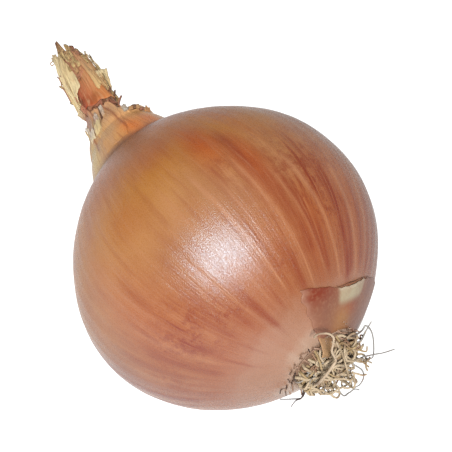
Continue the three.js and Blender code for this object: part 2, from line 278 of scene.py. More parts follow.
def ragged(angle, size, seed):
    """Unevenness from -1 to 1 that closes on itself round the axis."""
    turn = math.radians(angle)
    return uneven(math.cos(turn) * size, math.sin(turn) * size, seed)


def collar_radius(angle, height):
    """The collar's radius: it narrows upwards, and splays out on one side."""
    rise = smooth(height, COLLAR_FOOT, COLLAR_FOOT + COLLAR_NARROWING)
    closeness = turn_between(angle, COLLAR_SPLAY["angle"]) / COLLAR_SPLAY["width"]
    splay = COLLAR_SPLAY["reach"] * math.exp(-closeness * closeness) * math.sqrt(rise)
    return mix(NECK_RADIUS, COLLAR_TOP_RADIUS, rise) + splay


def skin_point(angle, height, lift):
    """A point a given lift above the skin of the bulb or its collar."""
    on_bulb = height < COLLAR_FOOT
    radius = read_off(BULB_OUTLINE, height) if on_bulb else collar_radius(angle, height)
    return about_axis(radius + lift, angle, height)


def stalk_point(angle, height, lift):
    """A point a given lift above the dry stalk, which is flatter across than along its lean."""
    half = read_off(STALK_SECTIONS, height)
    wave = math.cos(math.radians(STALK_LOBES * angle + 4 * height))
    turn = math.radians(turn_between(LEAN_ANGLE, angle))
    section = math.hypot(math.cos(turn), STALK_FLATNESS * math.sin(turn))
    radius = section * (half + STALK_LOBE_DEPTH * wave) + lift
    return about_axis(radius, angle, height)


# Modelling helpers
def deselect():
    if bpy.context.object and bpy.context.object.mode != "OBJECT":
        bpy.ops.object.mode_set(mode="OBJECT")
    bpy.ops.object.select_all(action="DESELECT")


def select_only(piece):
    deselect()
    piece.select_set(True)
    bpy.context.view_layer.objects.active = piece


def edit(piece):
    select_only(piece)
    bpy.ops.object.mode_set(mode="EDIT")


def finish_edit():
    bpy.ops.object.mode_set(mode="OBJECT")


def apply_modifier(piece, kind, **settings):
    select_only(piece)
    modifier = piece.modifiers.new(kind.lower(), kind)
    for name, value in settings.items():
        setattr(modifier, name, value)
    bpy.ops.object.modifier_apply(modifier=modifier.name)


def subdivide_smooth(piece, levels):
    apply_modifier(piece, "SUBSURF", levels=levels, render_levels=levels)


def settle(piece):
    """Bakes the object's place into its mesh, so that the object sits at the origin."""
    select_only(piece)
    bpy.ops.object.transform_apply(location=True, rotation=True, scale=True)


def face_outwards(piece):
    edit(piece)
    bpy.ops.mesh.select_all(action="SELECT")
    bpy.ops.mesh.normals_make_consistent(inside=False)
    finish_edit()


def join(name, pieces):
    deselect()
    for piece in pieces:
        piece.select_set(True)
    bpy.context.view_layer.objects.active = pieces[0]
    if len(pieces) > 1:
        bpy.ops.object.join()
    pieces[0].name = name
    pieces[0].data.name = name
    return pieces[0]


def place_vertices(piece, move):
    """Moves each vertex to where move(x, y, z) says."""
    for vertex in piece.data.vertices:
        vertex.co = move(*vertex.co)
    piece.data.update()


def add_tone(piece, name, values):
    attribute = piece.data.attributes.new(name, "FLOAT", "POINT")
    attribute.data.foreach_set("value", np.asarray(values, np.float32))


def add_tint(piece, colours):
    attribute = piece.data.attributes.new("tint", "FLOAT_COLOR", "POINT")
    attribute.data.foreach_set("color", np.asarray(colours, np.float32).ravel())


def blend_paints(low, high, share):
    return tuple(mix(a, b, share) for a, b in zip(low, high))


def paper_strip(name, place, columns, rows, thickness, tint_at, smoothing=1):
    """A thin strip: a flat grid laid where place(across, along) says, then thickened and smoothed."""
    deselect()
    bpy.ops.mesh.primitive_grid_add(x_subdivisions=columns, y_subdivisions=rows, size=1)
    piece = bpy.context.object
    piece.name = name
    add_tint(piece, [tint_at(vertex.co.x + 0.5, vertex.co.y + 0.5) for vertex in piece.data.vertices])
    place_vertices(piece, lambda x, y, z: place(x + 0.5, y + 0.5))
    apply_modifier(piece, "SOLIDIFY", thickness=thickness * MM, offset=0)
    if smoothing:
        subdivide_smooth(piece, smoothing)
    bpy.ops.object.shade_smooth()
    return piece


def tube(name, routes, radius, tint, sides=2):
    """Round stems along routes of (point, share of the radius), as one mesh."""
    curve = bpy.data.curves.new(name, "CURVE")
    curve.dimensions = "3D"
    curve.bevel_depth = radius * MM
    curve.bevel_resolution = sides
    curve.use_fill_caps = True
    for route in routes:
        spline = curve.splines.new("POLY")
        spline.points.add(len(route) - 1)
        for point, (place, share) in zip(spline.points, route):
            point.co = (*place, 1)
            point.radius = share
    piece = bpy.data.objects.new(name, curve)
    bpy.context.scene.collection.objects.link(piece)
    select_only(piece)
    bpy.ops.object.convert(target="MESH")
    piece = bpy.context.object
    bpy.ops.object.shade_smooth()
    add_tint(piece, [tint] * len(piece.data.vertices))
    return piece


def dress(piece, material, node):
    """Gives a finished piece its material, attaches it to the root body and hides the CAD part of the
    node it stands for.
    """
    piece.data.materials.clear()
    piece.data.materials.append(material)
    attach(piece, "root")
    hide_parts(node)


# Materials
# How much light falls on the bulb, and less on the neck and the collar, which turn away from it
STUDIO_LIGHT = 3.1
NECK_LIGHT = 2.35
COLLAR_LIGHT = 2


def linear(part):
    """One part of a screen colour, from 0 to 255, as light."""
    part /= 255
    return part / 12.92 if part <= 0.04045 else ((part + 0.055) / 1.055) ** 2.4


def paint(red, green, blue, light=STUDIO_LIGHT):
    """The paint that looks like this screen colour, from 0 to 255, under so much light."""
    return (linear(red) / light, linear(green) / light, linear(blue) / light, 1)


# Tints of the dry paper
STRAW = paint(240, 204, 140, NECK_LIGHT)
CREAM = paint(248, 226, 176, NECK_LIGHT)
OLIVE = paint(200, 168, 112, NECK_LIGHT)
TAN = paint(214, 162, 110, NECK_LIGHT)
ORANGE = paint(226, 142, 74, NECK_LIGHT)
RED = paint(152, 14, 8, NECK_LIGHT)
ROSE = paint(206, 136, 100, NECK_LIGHT)
PINK_BROWN = paint(176, 110, 86, NECK_LIGHT)
BROWN = paint(120, 70, 44, NECK_LIGHT)
WHITE = paint(240, 224, 208, NECK_LIGHT)
GREY = paint(206, 196, 182, NECK_LIGHT)


class Shader:
    """Builds a material's nodes, one call a node."""

    def __init__(self, name):
        self.material = bpy.data.materials.new(name)
        self.material.use_nodes = True
        self.tree = self.material.node_tree
        self.surface = self.tree.nodes["Principled BSDF"]
        self.place = self.add("ShaderNodeTexCoord").outputs["Object"]

    def add(self, kind, **settings):
        made = self.tree.nodes.new(kind)
        for name, value in settings.items():
            setattr(made, name, value)
        return made

    def feed(self, socket, value):
        if isinstance(value, bpy.types.NodeSocket):
            self.tree.links.new(value, socket)
        else:
            socket.default_value = value

    def math(self, operation, *values):
        made = self.add("ShaderNodeMath", operation=operation)
        for socket, value in zip(made.inputs, values):
            self.feed(socket, value)
        return made.outputs[0]

    def vector(self, operation, *values):
        made = self.add("ShaderNodeVectorMath", operation=operation)
        for socket, value in zip(made.inputs, values):
            self.feed(socket, value)
        return made.outputs[0]

    def span(self, value, start, end, low=0.0, high=1.0):
        made = self.add("ShaderNodeMapRange", interpolation_type="SMOOTHSTEP")
        for socket, given in zip(made.inputs, (value, start, end, low, high)):
            self.feed(socket, given)
        return made.outputs[0]

    def times(self, one, other):
        return self.math("MULTIPLY", one, other)

    def most(self, one, other):
        return self.math("MAXIMUM", one, other)

    def noise(self, place, scale, detail=4.0, roughness=0.55):
        made = self.add("ShaderNodeTexNoise")
        self.feed(made.inputs["Vector"], place)
        self.feed(made.inputs["Scale"], scale)
        self.feed(made.inputs["Detail"], detail)
        self.feed(made.inputs["Roughness"], roughness)
        return made.outputs["Fac"]

    def ramp(self, value, stops):
        """A colour ramp through stops, of which the first two are its ends."""
        made = self.add("ShaderNodeValToRGB")
        self.feed(made.inputs[0], value)
        elements = made.color_ramp.elements
        for index, (position, colour) in enumerate(stops):
            element = elements[index] if index < 2 else elements.new(position)
            element.position = position
            element.color = colour
        return made.outputs[0]

    def blend(self, share, low, high):
        made = self.add("ShaderNodeMix", data_type="RGBA")
        self.feed(made.inputs[0], share)
        self.feed(made.inputs[6], low)
        self.feed(made.inputs[7], high)
        return made.outputs[2]

    def cover(self, colour, over, pattern, start, end, share):
        """Lays one colour over another, up to a share, as a pattern goes from start to end."""
        return self.blend(self.span(pattern, start, end, 0.0, share), colour, over)

    def tone(self, name):
        return self.add("ShaderNodeAttribute", attribute_name=name).outputs["Fac"]

    def tint(self):
        return self.add("ShaderNodeAttribute", attribute_name="tint").outputs["Color"]

    def bump(self, height, distance, strength=1.0, under=None):
        made = self.add("ShaderNodeBump")
        self.feed(made.inputs["Height"], height)
        self.feed(made.inputs["Distance"], distance)
        self.feed(made.inputs["Strength"], strength)
        if under is not None:
            self.feed(made.inputs["Normal"], under)
        return made.outputs[0]

    def surface_is(self, **sockets):
        for name, value in sockets.items():
            self.feed(self.surface.inputs[name.replace("_", " ")], value)
        return self.material


def skin_material():
    """Glossy dry skin: a base colour by height, patches, rust, veins and a fine grain over it, with
    painted shade in the creases at and on the collar and painted sheen on the outline.
    """
    shader = Shader("onion_skin")
    axes = shader.add("ShaderNodeSeparateXYZ")
    shader.feed(axes.inputs[0], shader.place)
    height = shader.times(axes.outputs["X"], -1 / MM)
    from_axis = shader.add("ShaderNodeCombineXYZ")
    shader.feed(from_axis.inputs["Y"], axes.outputs["Y"])
    above = shader.math("SUBTRACT", axes.outputs["Z"], AXIS_ABOVE_FLOOR * MM)
    shader.feed(from_axis.inputs["Z"], above)
    outward = shader.vector("NORMALIZE", from_axis.outputs[0])

    def fibres(round_scale, long_scale, detail=3.0, seed=0.0):
        """Noise drawn out from neck to root, even all the way round."""
        along = shader.add("ShaderNodeCombineXYZ")
        shader.feed(along.inputs["X"], shader.math("MULTIPLY_ADD", height, long_scale, seed))
        around = shader.vector("SCALE", outward)
        around.node.inputs["Scale"].default_value = round_scale
        return shader.noise(shader.vector("ADD", along.outputs[0], around), 1.0, detail)

    height_share = shader.span(height, -40, 60)
    height_share.node.interpolation_type = "LINEAR"
    base_and_crease_shade = shader.ramp(height_share, [
        (0.0, paint(212, 166, 136)),
        (1.0, paint(216, 154, 110, COLLAR_LIGHT)),
        (0.04, paint(208, 148, 114)),
        (0.07, paint(198, 134, 102)),
        (0.11, paint(194, 118, 76)),
        (0.2, paint(200, 124, 74)),
        (0.3, paint(202, 136, 88)),
        (0.4, paint(219, 153, 90)),
        (0.5, paint(221, 148, 56)),
        (0.6, paint(217, 131, 6)),
        (0.68, paint(213, 114, 6)),
        # The dark stops from 0.725 to 0.765, where the shoulder meets the collar, are painted shade in
        # that crease
        (0.725, paint(182, 98, 28)),
        (0.745, paint(138, 84, 50)),
        (0.765, paint(156, 100, 60)),
        (0.79, paint(216, 158, 96, COLLAR_LIGHT)),
        (0.88, paint(230, 178, 122, COLLAR_LIGHT)),
    ])
    cloud = shader.noise(shader.place, 42.0, 4.0)
    broad = fibres(3.2, 0.03, 2.0)
    fine = fibres(26.0, 0.05, 4.0, 3.0)
    finest = fibres(70.0, 0.09, 3.0, 9.0)
    colour = shader.cover(base_and_crease_shade, paint(178, 108, 58), cloud, 0.42, 0.66, 0.4)
    colour = shader.cover(colour, paint(192, 100, 44), broad, 0.5, 0.72, 0.35)
    patchy = shader.span(cloud, 0.25, 0.6, 0.7, 1.0)
    # Mauve skin, and painted sheen where these patches lie on the outline
    colour = shader.blend(shader.times(shader.tone("mauve_and_sheen"), patchy), colour, paint(194, 150, 134))
    collar = shader.span(height, 35, 38)
    orange = shader.blend(collar, paint(212, 100, 22), paint(226, 126, 48, COLLAR_LIGHT))
    colour = shader.blend(shader.times(shader.tone("orange"), patchy), colour, orange)
    straw = paint(210, 180, 114, COLLAR_LIGHT)
    colour = shader.blend(shader.times(shader.tone("straw"), patchy), colour, straw)

    belly = shader.times(shader.span(height, -36, -24), shader.span(height, 34, 10))
    mottle = fibres(9.0, 0.12, 4.0, 17.0)
    zone = shader.math("MULTIPLY_ADD", shader.tone("zone"), 0.9, 0.2)
    rust_marks_and_crease_shade = shader.times(shader.span(fine, 0.44, 0.62), shader.span(mottle, 0.36, 0.6))
    rust_marks_and_crease_shade = shader.times(shader.times(rust_marks_and_crease_shade, zone), belly)
    patches = shader.span(shader.noise(shader.place, 150.0, 5.0, 0.7), 0.44, 0.56)
    specks = shader.span(shader.noise(shader.place, 700.0, 3.0, 0.7), 0.38, 0.58, 0.45, 1.0)
    speckle = shader.times(shader.times(patches, specks), shader.tone("zone"))
    rust_marks_and_crease_shade = shader.most(rust_marks_and_crease_shade, shader.times(speckle, belly))
    # Dark lines in the rust colour along the collar are painted shade in its creases
    crease_shade = shader.times(shader.span(finest, 0.48, 0.66, 0.0, 0.45), collar)
    rust_marks_and_crease_shade = shader.most(rust_marks_and_crease_shade, crease_shade)
    rust_and_crease_shade = shader.times(shader.tone("rust"), shader.span(fine, 0.3, 0.62, 0.65, 1.0))
    rust_and_crease_shade = shader.times(rust_and_crease_shade, shader.span(mottle, 0.3, 0.5, 0.6, 1.0))
    # Here the painted crease shade joins the rust marks, and both take the rust colour
    rust_and_crease_shade = shader.most(rust_and_crease_shade, rust_marks_and_crease_shade)
    colour = shader.blend(rust_and_crease_shade, colour, paint(158, 56, 16))
    near_root = shader.math("ADD", height, shader.span(cloud, 0.3, 0.7, -1.5, 1.5))
    root_pallor = shader.span(near_root, -36, -38.8, 0.0, 0.85)
    light_fibre = shader.times(shader.span(finest, 0.5, 0.28, 0.0, 0.3), belly)
    vein_share = shader.most(shader.times(shader.tone("vein"), 0.7), light_fibre)
    colour = shader.blend(vein_share, colour, paint(228, 158, 110))
    root_cloud = shader.blend(cloud, paint(224, 182, 152), paint(200, 136, 100))
    colour = shader.blend(shader.times(shader.tone("pale"), 0.28), colour, root_cloud)
    colour = shader.blend(root_pallor, colour, paint(232, 198, 172))
    grain = shader.noise(shader.place, 3000.0, 3.0, 0.75)
    colour = shader.cover(colour, paint(216, 144, 86), grain, 0.4, 0.7, 0.06)

    relief = shader.bump(grain, 0.00012, 0.66)
    relief = shader.bump(finest, 0.0002, 0.34, relief)
    # The low specular level keeps gloss off the rim, and the tint makes the highlight strong and
    # nearly white
    return shader.surface_is(
        Base_Color=colour,
        Roughness=shader.span(grain, 0.3, 0.7, 0.23, 0.36),
        Specular_IOR_Level=0.06,
        Specular_Tint=(4.8, 7.3, 8.7, 1),
        Normal=relief,
    )


def paper_material():
    """Dry papery layers: each strip's own tint, fine fibres along it, blotches and a torn end."""
    shader = Shader("dry_neck_paper")
    spread = shader.add("ShaderNodeUVMap").outputs[0]
    apart = shader.vector("SCALE", shader.place)
    apart.node.inputs["Scale"].default_value = 160

    def drawn_out(across, along, detail, roughness=0.55):
        """Noise stretched along the strip, and other on every strip."""
        stretched = shader.add("ShaderNodeMapping")
        shader.feed(stretched.inputs["Vector"], spread)
        stretched.inputs["Scale"].default_value = (across, along, 1)
        place = shader.vector("ADD", stretched.outputs[0], apart)
        return shader.noise(place, 1.0, detail, roughness)

    fibre = drawn_out(22, 1.4, 5.0, 0.62)
    blotch = shader.noise(shader.place, 330.0, 4.0)
    band = drawn_out(8, 0.7, 3.0)
    colour = shader.cover(shader.tint(), TAN, band, 0.5, 0.68, 0.3)
    colour = shader.cover(colour, CREAM, band, 0.44, 0.3, 0.35)
    colour = shader.cover(colour, CREAM, fibre, 0.52, 0.72, 0.28)
    colour = shader.cover(colour, BROWN, fibre, 0.46, 0.3, 0.45)
    colour = shader.cover(colour, TAN, blotch, 0.56, 0.74, 0.3)
    along = shader.add("ShaderNodeSeparateXYZ")
    shader.feed(along.inputs[0], spread)
    end = shader.math("ADD", along.outputs["Y"], shader.times(fibre, 0.3))
    colour = shader.cover(colour, BROWN, end, 1.04, 1.18, 0.5)
    relief = shader.bump(fibre, 0.0005, 0.8)
    relief = shader.bump(blotch, 0.0004, 0.5, relief)
    return shader.surface_is(
        Base_Color=colour, Roughness=0.6, Specular_IOR_Level=0.25, Normal=relief
    )


def root_material():
    """Dried roots: each group's own tint, with darker patches and dust."""
    shader = Shader("dry_root")
    patch = shader.noise(shader.place, 210.0, 3.0)
    fine = shader.noise(shader.place, 1400.0, 3.0)
    colour = shader.cover(shader.tint(), paint(142, 100, 70), patch, 0.5, 0.36, 0.6)
    colour = shader.cover(colour, paint(150, 110, 80), fine, 0.5, 0.75, 0.35)
    return shader.surface_is(
        Base_Color=colour, Roughness=0.7, Normal=shader.bump(fine, 0.0002, 0.6)
    )


def scrap_material():
    """An older layer of skin, painted patch by patch, with fine fibres."""
    shader = Shader("torn_skin_paper")
    blotch = shader.noise(shader.place, 150.0, 3.0)
    fine = shader.noise(shader.place, 1300.0, 3.0)
    colour = shader.cover(shader.tint(), paint(178, 116, 84), blotch, 0.42, 0.66, 0.4)
    colour = shader.cover(colour, paint(206, 154, 118), fine, 0.45, 0.7, 0.25)
    return shader.surface_is(
        Base_Color=colour,
        Roughness=0.45,
        Specular_IOR_Level=0.25,
        Normal=shader.bump(fine, 0.0002, 0.5),
    )


def floor_material():
    """A pale table that glows white, most in front, so that hardly any shadow shows on it."""
    shader = Shader("pale_floor")
    tint = shader.noise(shader.place, 6.0, 2.0)
    colour = shader.blend(tint, (0.12, 0.12, 0.12, 1), (0.14, 0.14, 0.14, 1))
    place = shader.add("ShaderNodeSeparateXYZ")
    shader.feed(place.inputs[0], shader.place)
    glow = shader.span(place.outputs["Y"], 0.12, -0.2, 0.85, 1.95)
    return shader.surface_is(
        Base_Color=colour,
        Roughness=0.9,
        Emission_Color=(1, 1, 1, 1),
        Emission_Strength=glow,
    )


# The bulb with its collar, and the angles of the side that the photograph doesn't show
FAR_SIDE = (62, 262)


def streak_share(streaks, angles, heights, soft_ends):
    """How strongly a list of streaks shows at each point, from 0 to 1."""
    total = np.zeros(len(angles))
    for start_angle, end_angle, half_width, top, bottom, strength in streaks:
        share = np.clip((top - heights) / (top - bottom), 0, 1)
        centre = start_angle + (end_angle - start_angle) * share
        off = turn_between(centre, angles)
        width = half_width * (1.1 - 0.3 * share)
        across = np.exp(-((off / width) ** 2) * 1.4)
        start = np.clip((top + soft_ends - heights) / (2 * soft_ends), 0, 1)
        end = np.clip((heights - bottom + 1) / 2.5, 0, 1)
        total = np.maximum(total, strength * across * start * end)
    return total


def patch_share(patches, angles, heights):
    """How strongly soft-edged patches of (angle, height, half widths, strength) show."""
    total = np.zeros(len(angles))
    for angle, height, half_angle, half_height, strength in patches:
        off = turn_between(angle, angles) / half_angle
        up = (heights - height) / half_height
        total = np.maximum(total, strength * np.exp(-(off ** 2 + up ** 2) * 1.1))
    return total


def far_streaks(seed, count, low, high):
    """Streaks for the side that the photograph doesn't show, drawn at random."""
    draw = random.Random(seed)
    made = []
    for _ in range(count):
        angle = draw.uniform(*FAR_SIDE)
        top = draw.uniform(-20, 14)
        bottom = draw.uniform(-33, min(-12, top - 6))
        half_width = draw.uniform(low, high)
        end_angle = angle + draw.uniform(-3, 3)
        made.append((angle, end_angle, half_width, top, bottom, draw.uniform(0.3, 0.9)))
    return made


def far_patches(seed, count, strength):
    """Patches for that same side: random angles, heights and half widths."""
    draw = random.Random(seed)
    limits = ((70, 255), (-25, 22), (8, 20), (6, 14))
    return [(*(draw.uniform(*limit) for limit in limits), strength) for _ in range(count)]


# Colouring by name: streaks with how soft their tops are, and patches
STREAKS = {
    "rust": (RUST_STREAKS + far_streaks(5, 26, 2, 5), 3.5),
    "vein": (PALE_VEINS + far_streaks(7, 22, 0.7, 1.6), 3),
}
PATCHES = {
    "orange": ORANGE_PATCHES + far_patches(3, 5, 0.5),
    "mauve_and_sheen": MAUVE_AND_SHEEN_PATCHES + far_patches(9, 7, 0.5),
    "straw": STRAW_PATCHES,
    "zone": RUSTY_ZONES + far_patches(21, 6, 0.8),
}


def bulb_rings():
    """Rings of the bulb as (radius, height): the root hollow, the outside, the collar, the cup."""
    stretch = COLLAR_MODEL_RIM - COLLAR_FOOT
    outside = [
        (NECK_RADIUS, COLLAR_FOOT + stretch * step / COLLAR_RINGS) for step in range(1, COLLAR_RINGS + 1)
    ]
    inner = NECK_RADIUS - COLLAR_WALL
    cup = [
        (inner, COLLAR_MODEL_RIM - 0.1),
        (inner, COLLAR_FOOT + stretch * 0.6),
        (inner, COLLAR_FOOT + stretch * 0.25),
        (CUP_RADIUS + 1.2, CUP_FLOOR + 1),
        (CUP_RADIUS, CUP_FLOOR),
        (0.5, CUP_FLOOR),
    ]
    return ROOT_HOLLOW + bulb_curve(RINGS_PER_STRETCH) + outside + cup


def make_bulb(material):
    """The bulb's skin: a ring extruded from the root hollow to the cup, then shaped and painted."""
    rings = bulb_rings()
    radius, height = rings[0]
    deselect()
    bpy.ops.mesh.primitive_circle_add(
        vertices=BULB_COLUMNS,
        radius=radius * MM,
        location=grown(0, 0, height),
        rotation=(0, math.pi / 2, 0),
    )
    piece = bpy.context.object
    settle(piece)
    edit(piece)
    bpy.ops.mesh.select_all(action="SELECT")
    bpy.ops.mesh.edge_face_add()
    bpy.ops.mesh.select_all(action="SELECT")
    for next_radius, next_height in rings[1:]:
        step = (-(next_height - height) * MM, 0, 0)
        bpy.ops.mesh.extrude_region_move(TRANSFORM_OT_translate={"value": step})
        grow = next_radius / radius
        centre = grown(0, 0, next_height)
        bpy.ops.transform.resize(value=(1, grow, grow), center_override=centre)
        radius, height = next_radius, next_height
    finish_edit()
    face_outwards(piece)
    subdivide_smooth(piece, 2)
    shape_bulb(piece)
    paint_skin(piece)
    select_only(piece)
    bpy.ops.object.shade_smooth()
    piece.name = "bulb_skin"
    dress(piece, material, "bulb")


def collar_rim(angle):
    """Height of the collar's torn rim."""
    torn = 1.2 * ragged(angle, 3.1, 2.7) + 1.1 * ragged(angle, 9, 5.1) + 0.7 * ragged(angle, 24, 8.3)
    low_side = math.exp(-((turn_between(angle, 60) / 45) ** 2))
    return round_the_axis(COLLAR_RIM, angle) + torn * (1 - 0.7 * low_side)


def shape_bulb(piece):
    """Gives the straight round shell its lean, torn collar, folds, faint ribs and flat spot."""

    def move(x, y, z):
        across = z / MM - AXIS_ABOVE_FLOOR
        beside = y / MM
        height = -x / MM
        radius = math.hypot(across, beside)
        angle = math.degrees(math.atan2(beside, across))
        if height > COLLAR_FOOT:
            share = (height - COLLAR_FOOT) / (COLLAR_MODEL_RIM - COLLAR_FOOT)
            height = mix(COLLAR_FOOT, collar_rim(angle), share)
            closing = collar_radius(angle, height) - NECK_RADIUS
            in_wall = radius > NECK_RADIUS - COLLAR_WALL - 0.3
            radius += closing * (1 if in_wall else smooth(share, 0, 0.25))
        folds = smooth(height, 34, 52)
        radius += folds * (0.5 * ragged(angle, 3.4, 1.3) + 0.35 * ragged(angle, 9, 4.4))
        radius += folds * 0.22 * ragged(angle, 22, 7.7)
        belly = smooth(height, -37, -28) * (1 - smooth(height, 24, 36))
        ribs = 0.1 * ragged(angle, 12, height * 0.01) + 0.06 * ragged(angle, 30, 3 + height * 0.012)
        radius += belly * ribs
        rooted = smooth(-height, 31, 37)
        radius += rooted * 0.22 * ragged(angle, 10, 6.1 + 0.05 * height)
        swell = noise.noise(Vector((across, beside, height)) * 0.035)
        radius += 0.35 * swell * smooth(radius, 6, 20)
        placed = about_axis(radius, angle, height)
        placed.z = max(placed.z, 0)
        return placed

    place_vertices(piece, move)


def points_round(piece):
    """The angle and the height of each point of a piece, in degrees and millimetres."""
    places = np.zeros(len(piece.data.vertices) * 3)
    piece.data.vertices.foreach_get("co", places)
    places = places.reshape(-1, 3) / MM
    return np.degrees(np.arctan2(places[:, 1], places[:, 2] - AXIS_ABOVE_FLOOR)), -places[:, 0]


def paint_skin(piece):
    """Stores how strongly each kind of colouring shows at each point."""
    angles, heights = points_round(piece)
    for name, (streaks, soft_ends) in STREAKS.items():
        add_tone(piece, name, streak_share(streaks, angles, heights, soft_ends))
    for name, patches in PATCHES.items():
        add_tone(piece, name, patch_share(patches, angles, heights))
    edge = np.array([PALE_EDGE + 1.6 * ragged(a, 5, 2.2) + 0.9 * ragged(a, 16, 6.4) for a in angles])
    add_tone(piece, "pale", np.clip((edge - heights) / 0.9, 0, 1))


# The dry neck: each sheet's two edges at its foot and at its tip, heights of foot and tip, how
# much higher its second edge's foot is, lifts of the two edges, how far its foot flares and its
# corner peels, how torn its ends are, and the tints of its corners (foot, foot, tip, tip)
SHEETS = [
    ((-178, -112), (-170, -104), (60.8, 82), 0, (-0.5, 0.6), 0.3, 0, 2.4, (OLIVE, TAN, TAN, STRAW)),
    ((114, 190), (120, 196), (60.6, 82), 0, (-0.5, 0.6), 0.5, 0, 2.6, (TAN, OLIVE, STRAW, TAN)),
    ((56, 126), (50, 120), (58.6, 81.5), 0, (0.5, -0.5), 0.7, 0, 2.4, (OLIVE, TAN, OLIVE, STRAW)),
    # This fourth sheet, all brown, is painted shade under the flared foot of the red sheet above it
    ((-70, 48), (-60, 48), (55.8, 60), 0, (-0.1, -0.1), 0.3, 0, 1.8, (BROWN,) * 4),
    ((-84, 48), (-46, 26), (60, 77), -2.2, (0, 0.2), 0.9, 0, 1.4, (RED, ORANGE, ROSE, TAN)),
    ((-34, 34), (-40, 30), (70, 82), 0, (0, 0.3), 0, 0, 2.2, (ROSE, ROSE, STRAW, TAN)),
    ((-126, -70), (-104, -34), (61, 83), 0, (0.1, 0.8), 0.2, 0, 2.4, (STRAW, STRAW, CREAM, CREAM)),
    ((-112, -29), (-72, -18), (59.4, 81.4), 7.4, (0.4, 1), 0.2, 0, 1.6, (CREAM, CREAM, CREAM, STRAW)),
    ((-106, -78), (-84, -46), (60.6, 82.6), 0, (1, 1.3), 0.3, 0, 1.6, (STRAW, CREAM, CREAM, CREAM)),
    ((9, 66), (8, 50), (62.6, 80.6), 0, (0.9, 0.4), 0.1, 0, 2.8, (STRAW, TAN, ROSE, TAN)),
    ((18, 72), (16, 72), (62, 69.4), 0, (0, 0.6), 0, 2.1, 0.8, (TAN, STRAW, CREAM, CREAM)),
]
SHEET_THICKNESS = 0.3
FLAP_THICKNESS = 0.25
CURL_THICKNESS = 0.22
FIBRE_THICKNESS = 0.16

# Torn points: angle, foot and tip, width in degrees at the foot and the tip, reach outwards,
# turn from foot to tip, tint at the foot and at the tip
BARBS = [
    (-112, (70.2, 75.2), (30, 7), 1.9, 0, (STRAW, OLIVE)),
    (-118, (76, 83), (50, 24), 0.2, 0, (STRAW, ROSE)),
    (-34, (76.5, 85.4), (84, 16), 0.3, 16, (STRAW, BROWN)),
    (16, (75, 82.6), (44, 26), 0.3, 0, (TAN, OLIVE)),
    (44, (75, 82.4), (44, 24), 0.1, 4, (TAN, BROWN)),
    (62, (70, 77), (34, 16), 0.5, 0, (STRAW, OLIVE)),
    (104, (74, 82.6), (44, 18), 0.4, -6, (TAN, OLIVE)),
    (166, (75, 84), (50, 14), 0.3, -8, (TAN, OLIVE)),
    (-104, (64, 67.6), (24, 6), 1.2, 0, (CREAM, OLIVE)),
    (34, (56.4, 61), (24, 6), 1.5, 6, (PINK_BROWN, BROWN)),
    (50, (56.2, 60.4), (20, 5), 1.8, 8, (BROWN, BROWN)),
    (62, (55.6, 58.6), (18, 6), 2.1, 10, (ROSE, PINK_BROWN)),
    (30, (59.6, 55), (26, 8), 0.9, 4, (BROWN, PINK_BROWN)),
    (54, (59.4, 53.6), (24, 8), 0.8, 2, (PINK_BROWN, ROSE)),
    (8, (59, 55.6), (16, 6), 0.8, 0, (BROWN, PINK_BROWN)),
]

# Torn flaps round the collar: edges in degrees, foot, tip, lift from halfway up, more reach at the
# tip, turn from foot to tip, how torn the tip is, tints at the foot and at the tip
TATTERS = [
    ((96, 122), 47.5, 52.8, 0.3, 1.2, 0, 1, (TAN, PINK_BROWN)),
    ((42, 56), 45.4, 47.2, 0.1, 0.4, 0, 1, (ORANGE, TAN)),
    ((-118, -92), 50.5, 56.2, 0.3, 0.9, 0, 1, (OLIVE, STRAW)),
    ((150, 176), 49, 56, 0.3, 1.3, 0, 1, (TAN, PINK_BROWN)),
    ((196, 224), 49, 56, 0.3, 1, 0, 1, (TAN, OLIVE)),
    ((-50, -36), 45.6, 52.4, 0.1, 0.9, 6, 2.4, (STRAW, CREAM)),
    ((-64, -52), 46, 50.8, 0.2, 0.7, 4, 1.8, (CREAM, WHITE)),
    ((-42, -34), 49, 54, 0.5, 1.3, 4, 1.8, (ROSE, WHITE)),
    ((-84, -70), 50, 55.4, 0.2, 0.9, -2, 1.4, (STRAW, WHITE)),
    ((-31, -27), 48.4, 54.8, 0.5, 0.9, 8, 1, (BROWN, BROWN)),
    ((-25, -19), 49.4, 54.6, 0.9, 1.4, 4, 1, (TAN, WHITE)),
    ((5, 12), 46, 49, 0.2, 1, 2, 1, (TAN, GREY)),
    ((-88, -70), 58, 61.4, 0, 0.8, 0, 1, (PINK_BROWN, CREAM)),
    ((-66, -52), 57.6, 60.8, 0, 0.7, 0, 1, (PINK_BROWN, ROSE)),
]

# Edges of the broad tongue of skin that lies over the collar, as (angle, height), and the heights
# of its foot and top
TONGUE_LEFT = [(-42, 38), (-40, 45), (-30, 49), (-23, 50.6), (-14, 55.2)]
TONGUE_RIGHT = [(-10, 38), (-5, 41.2), (0, 46.8), (4, 52.2), (0, 55.2)]
TONGUE_HEIGHTS = (38, 55)

# Rolled scraps: angle, height, lift, radius of the roll, width, turns, tint; and how far from the
# axis they are taken to lie
CURLS = [
    (10, 47.4, 0.1, 0.4, 1.1, 0.8, GREY),
    (17, 47, 0.1, 0.5, 0.9, 0.9, TAN),
    (22, 47, 0.1, 0.6, 0.8, 0.8, BROWN),
    (27, 46.8, 0.1, 0.6, 0.9, 0.85, TAN),
    (33, 46, 0.1, 0.4, 1.1, 0.75, PINK_BROWN),
    (-104, 82.4, 0.8, 0.6, 0.6, 0.85, TAN),
]
CURL_FROM_AXIS = 8


